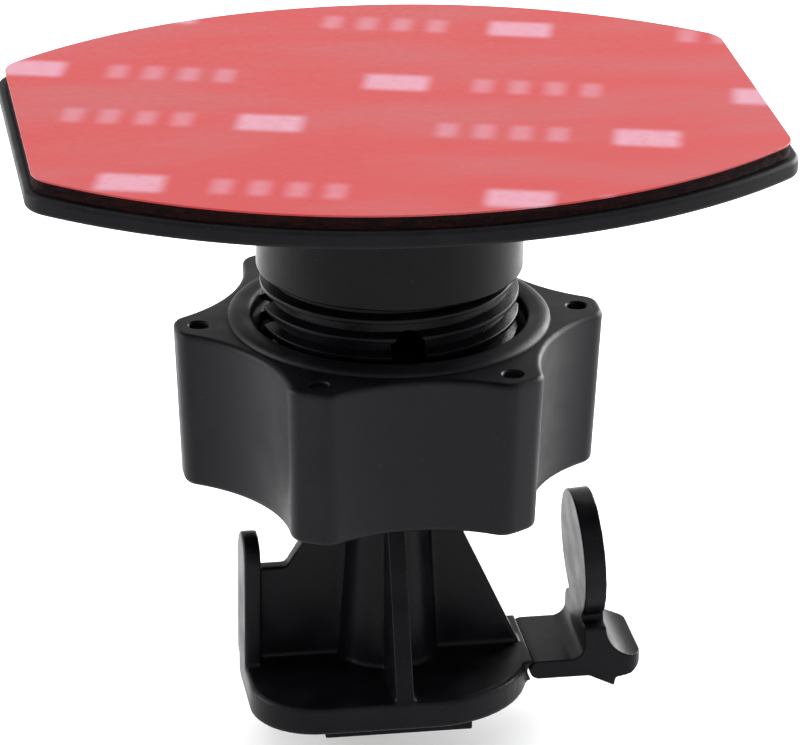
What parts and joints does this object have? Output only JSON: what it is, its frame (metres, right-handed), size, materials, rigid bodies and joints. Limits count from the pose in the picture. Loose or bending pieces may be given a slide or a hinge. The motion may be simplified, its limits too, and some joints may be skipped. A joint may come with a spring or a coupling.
{
  "type": "dash camera windscreen mount",
  "caption": "Adhesive windscreen mount for a dash camera: barrel-shaped pad plate, threaded collar with lobed clamp nut, ball joint, and a slide-rail bracket with a thumb latch.",
  "frame": {"origin": "centre of the adhesive face, on the outside of its release liner", "axes": "+Z out of the adhesive face towards the glass, +X along the base plate's length towards the latch, -Y towards the side with the plain view of the stem"},
  "size_m": [0.0574, 0.0476, 0.0497],
  "materials": {
    "liner_film": "smooth translucent film",
    "foam_tape": "cut closed-cell foam",
    "base_plastic": "satin moulded",
    "collar_plastic": "satin barrel, glossy thread",
    "nut_plastic": "fine satin texture",
    "bracket_plastic": "semi-gloss moulded",
    "seat_plastic": "satin moulded"
  },
  "bodies": {
    "base": {"base_plate": "base_plastic", "socket_collar": "collar_plastic", "adhesive_pad": "foam_tape"},
    "liner": {"release_liner": "liner_film"},
    "seat": {"pressure_ring": "seat_plastic"},
    "nut": {"clamp_nut": "nut_plastic"},
    "ball_inner": {"ball_core": "bracket_plastic"},
    "ball_outer": {"ball": "bracket_plastic"},
    "bracket": {"stem_post": "bracket_plastic", "stem_ribs": "bracket_plastic", "left_gusset": "bracket_plastic", "right_gusset": "bracket_plastic", "bracket_plate": "bracket_plastic", "finger_wall": "bracket_plastic", "rail_neck": "bracket_plastic", "rail_head": "bracket_plastic"},
    "latch": {"latch_tongue": "bracket_plastic", "thumb_paddle": "bracket_plastic"}
  },
  "joints": [
    {"name": "liner_peel", "type": "slide", "parent": "base", "child": "liner", "axis": [0, 0, 1], "range_m": [0, 0.02]},
    {"name": "seat_travel", "type": "slide", "parent": "base", "child": "seat", "axis": [0, 0, -1], "range_m": [0, 0.0012]},
    {"name": "nut_turn", "type": "hinge", "parent": "seat", "child": "nut", "pos_m": [0, 0, -0.0235], "axis": [0, 0, -1], "range_deg": [0, 270]},
    {"name": "ball_tilt_side", "type": "hinge", "parent": "base", "child": "ball_inner", "pos_m": [0, 0, -0.024], "axis": [1, 0, 0], "range_deg": [-15, 15]},
    {"name": "ball_tilt_end", "type": "hinge", "parent": "ball_inner", "child": "ball_outer", "pos_m": [0, 0, -0.024], "axis": [0, 1, 0], "range_deg": [-15, 15]},
    {"name": "bracket_swivel", "type": "hinge", "parent": "ball_outer", "child": "bracket", "pos_m": [0, 0, -0.024], "axis": [0, 0, 1], "continuous": true},
    {"name": "latch_flex", "type": "hinge", "parent": "bracket", "child": "latch", "pos_m": [0.0116, 0, -0.0464], "axis": [0, -1, 0], "range_deg": [0, 8], "stiffness_Nm_per_rad": 0.3}
  ],
  "couplings": [
    {"joint": "seat_travel", "follows": "nut_turn", "m_per_rad": 0.00023873}
  ]
}
